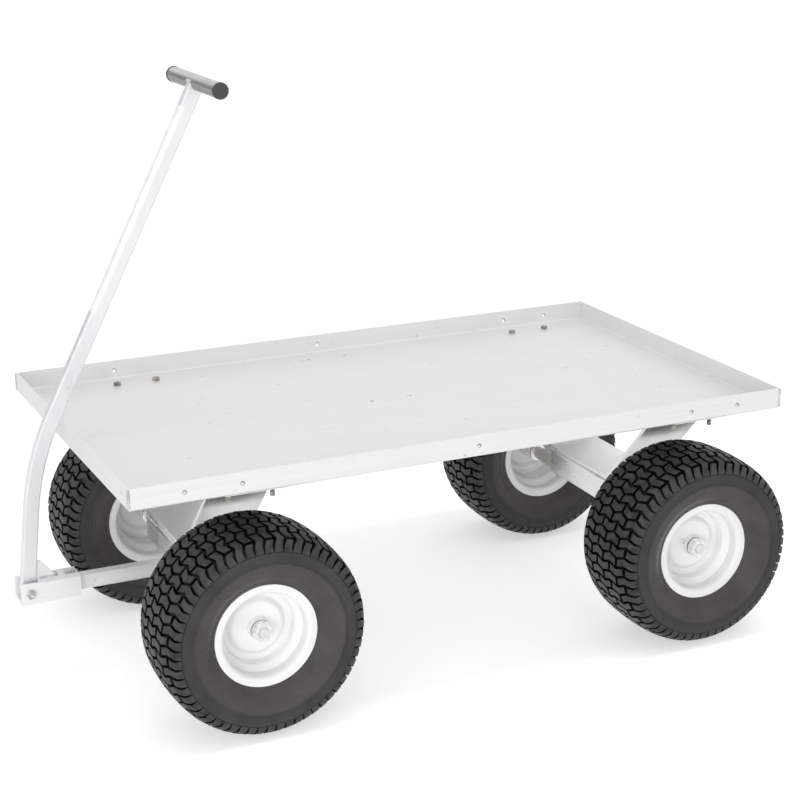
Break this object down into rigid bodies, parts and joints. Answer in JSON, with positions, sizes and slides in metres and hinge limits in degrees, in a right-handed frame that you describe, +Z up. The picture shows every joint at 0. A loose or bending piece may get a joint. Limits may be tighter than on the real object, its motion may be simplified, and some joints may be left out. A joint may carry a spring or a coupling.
{
  "type": "hand wagon",
  "caption": "Flat-deck hand wagon with a shallow folded tray, wide turf tyres on white rims, a steering front axle and a folding bent-tube pull handle.",
  "frame": {"origin": "on the ground under the middle of the overall box", "axes": "+X from the pull handle at the front to the rear, +Y to the right-hand side as seen from behind, +Z up"},
  "size_m": [1.3454, 0.7682, 1.0459],
  "materials": {
    "tray_aluminium": "mill finish sheet with fine rolling streaks and light scuffs",
    "bracket_aluminium": "mill finish flat bar",
    "beam_aluminium": "bright mill finish tube",
    "tongue_aluminium": "mill finish tube with weld marks",
    "handle_aluminium": "mill finish tube, lightly brushed along its length",
    "axle_steel": "turned bright steel",
    "zinc_hardware": "zinc plated",
    "thrust_plastic": "pale low-friction plastic",
    "bush_bronze": "sintered bronze, oily",
    "tyre_rubber": "matt moulded rubber",
    "rim_paint": "white gloss paint",
    "hub_steel": "white gloss paint",
    "grip_plug": "black moulded plastic"
  },
  "bodies": {
    "chassis": {"deck_tray": "tray_aluminium", "front_bracket": "bracket_aluminium", "rear_bracket": "bracket_aluminium", "deck_bolts": "zinc_hardware", "deck_washers": "zinc_hardware", "deck_nuts": "zinc_hardware", "rear_axle_beam": "beam_aluminium", "rear_axle_rod": "axle_steel", "rear_hub_washers": "zinc_hardware", "rear_hub_nuts": "zinc_hardware", "kingpin_bolt": "zinc_hardware", "kingpin_washer": "zinc_hardware", "kingpin_nut": "zinc_hardware", "thrust_plate": "thrust_plastic"},
    "front_axle": {"front_axle_beam": "beam_aluminium", "kingpin_bush": "bush_bronze", "front_axle_rod": "axle_steel", "front_hub_washers": "zinc_hardware", "front_hub_nuts": "zinc_hardware", "tongue": "tongue_aluminium", "clevis": "tongue_aluminium", "handle_stop": "tongue_aluminium", "pivot_bolt": "zinc_hardware", "pivot_washer": "zinc_hardware", "pivot_nut": "zinc_hardware", "pivot_spacers": "zinc_hardware"},
    "handle": {"handle_tube": "handle_aluminium", "grip_tube": "handle_aluminium", "grip_caps": "grip_plug"},
    "wheel_front_left": {"tyre_front_left": "tyre_rubber", "rim_front_left": "rim_paint", "hub_front_left": "hub_steel", "hub_bushings_front_left": "bush_bronze", "grease_fitting_front_left": "zinc_hardware"},
    "wheel_front_right": {"tyre_front_right": "tyre_rubber", "rim_front_right": "rim_paint", "hub_front_right": "hub_steel", "hub_bushings_front_right": "bush_bronze", "grease_fitting_front_right": "zinc_hardware"},
    "wheel_rear_left": {"tyre_rear_left": "tyre_rubber", "rim_rear_left": "rim_paint", "hub_rear_left": "hub_steel", "hub_bushings_rear_left": "bush_bronze", "grease_fitting_rear_left": "zinc_hardware"},
    "wheel_rear_right": {"tyre_rear_right": "tyre_rubber", "rim_rear_right": "rim_paint", "hub_rear_right": "hub_steel", "hub_bushings_rear_right": "bush_bronze", "grease_fitting_rear_right": "zinc_hardware"}
  },
  "joints": [
    {"name": "steer", "type": "hinge", "parent": "chassis", "child": "front_axle", "pos_m": [-0.35225, 0, 0.2425], "axis": [0, 0, 1], "range_deg": [-20, 20]},
    {"name": "handle_fold", "type": "hinge", "parent": "front_axle", "child": "handle", "pos_m": [-0.65625, 0, 0.18], "axis": [0, -1, 0], "range_deg": [0, 96]},
    {"name": "roll_front_left", "type": "hinge", "parent": "front_axle", "child": "wheel_front_left", "pos_m": [-0.35225, -0.29696, 0.179], "axis": [0, 1, 0], "continuous": true},
    {"name": "roll_front_right", "type": "hinge", "parent": "front_axle", "child": "wheel_front_right", "pos_m": [-0.35225, 0.29696, 0.179], "axis": [0, 1, 0], "continuous": true},
    {"name": "roll_rear_left", "type": "hinge", "parent": "chassis", "child": "wheel_rear_left", "pos_m": [0.49375, -0.29696, 0.179], "axis": [0, 1, 0], "continuous": true},
    {"name": "roll_rear_right", "type": "hinge", "parent": "chassis", "child": "wheel_rear_right", "pos_m": [0.49375, 0.29696, 0.179], "axis": [0, 1, 0], "continuous": true}
  ]
}
